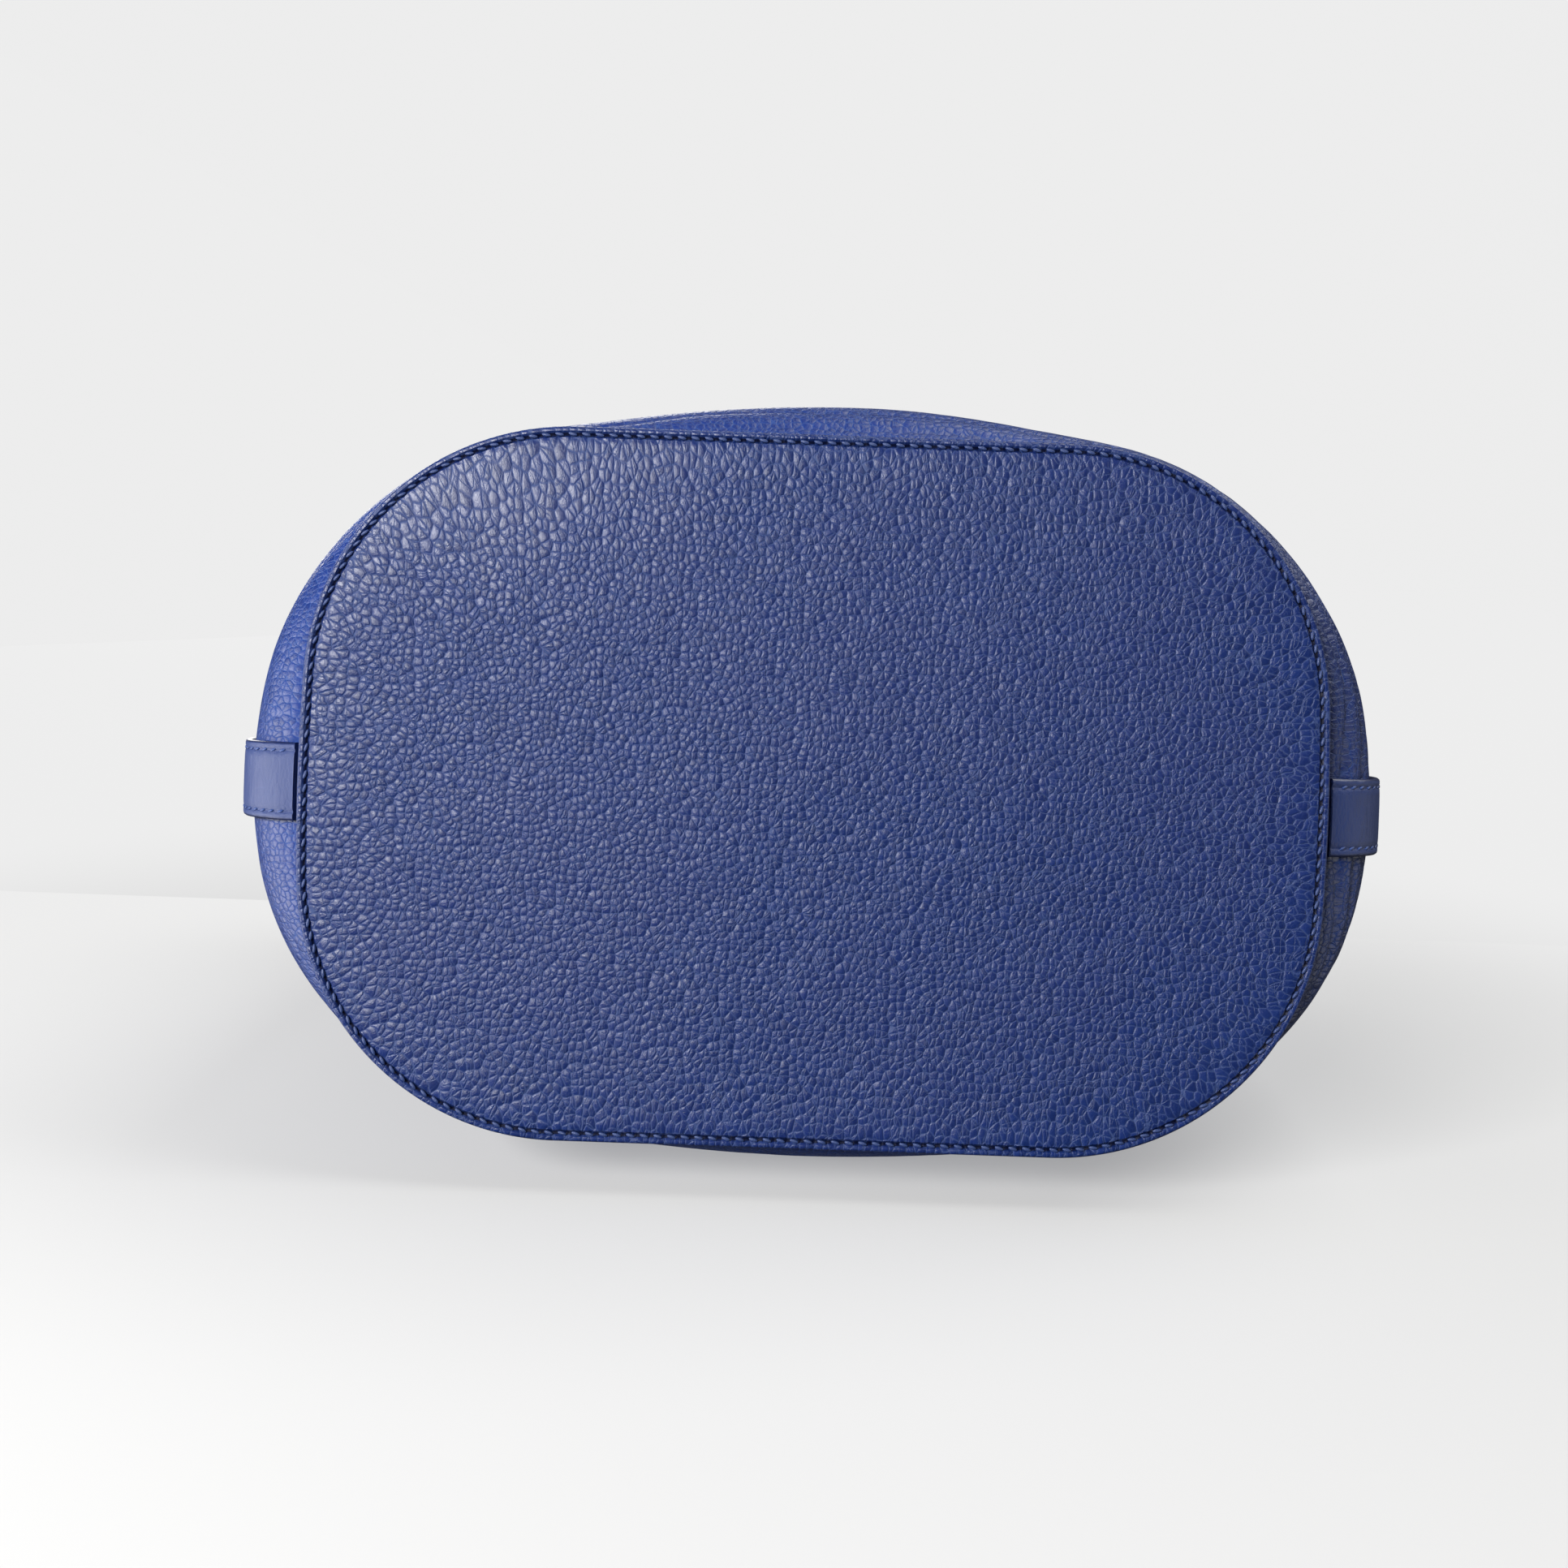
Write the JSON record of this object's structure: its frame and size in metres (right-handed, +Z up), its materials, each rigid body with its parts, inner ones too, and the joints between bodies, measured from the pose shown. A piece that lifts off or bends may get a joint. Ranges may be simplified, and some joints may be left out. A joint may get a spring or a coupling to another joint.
{
  "type": "bucket bag",
  "caption": "Soft grained-leather bucket bag on a stitched oval base, with side straps, rings, a buckled top handle and a magnetic tab.",
  "frame": {"origin": "middle of the base panel's flat underside, on the surface the bag stands on", "axes": "+Z up from the base to the mouth, X along the bag's width through the two rings, -Y towards the front"},
  "size_m": [0.3224, 0.2166, 0.3362],
  "materials": {
    "blue_leather": "pebbled grain, semi-matt",
    "edge_leather": "smoother grain with painted edges",
    "board": "bonded leatherboard, raw",
    "lining": "woven twill",
    "metal": "polished nickel plate"
  },
  "bodies": {
    "bag": {"base_panel": "blue_leather", "base_board": "board", "front_panel": "blue_leather", "back_panel": "blue_leather", "left_side_strap": "edge_leather", "right_side_strap": "edge_leather", "mouth_facing": "edge_leather", "lining": "lining", "slip_pocket": "lining", "tab_anchor": "edge_leather", "magnet": "metal", "magnet_washer": "metal"},
    "handle": {"left_ring": "metal", "right_ring": "metal", "handle_hole_strap": "edge_leather", "handle_buckle_strap": "edge_leather", "handle_keeper": "edge_leather", "buckle_frame": "metal"},
    "tab": {"closure_tab": "edge_leather", "tab_plate": "metal", "tab_cap": "metal"},
    "prong": {"buckle_prong": "metal"}
  },
  "joints": [
    {"name": "handle_swing", "type": "hinge", "parent": "bag", "child": "handle", "pos_m": [0, 0, 0.3154], "axis": [-1, 0, 0], "range_deg": [0, 286]},
    {"name": "tab_lift", "type": "hinge", "parent": "bag", "child": "tab", "pos_m": [0, 0.0585, 0.2925], "axis": [-1, 0, 0], "range_deg": [0, 130]},
    {"name": "prong_lift", "type": "hinge", "parent": "handle", "child": "prong", "pos_m": [-0.1497, -0.04702, 0.25068], "axis": [0, 0.809, -0.5878], "range_deg": [0, 20]}
  ]
}
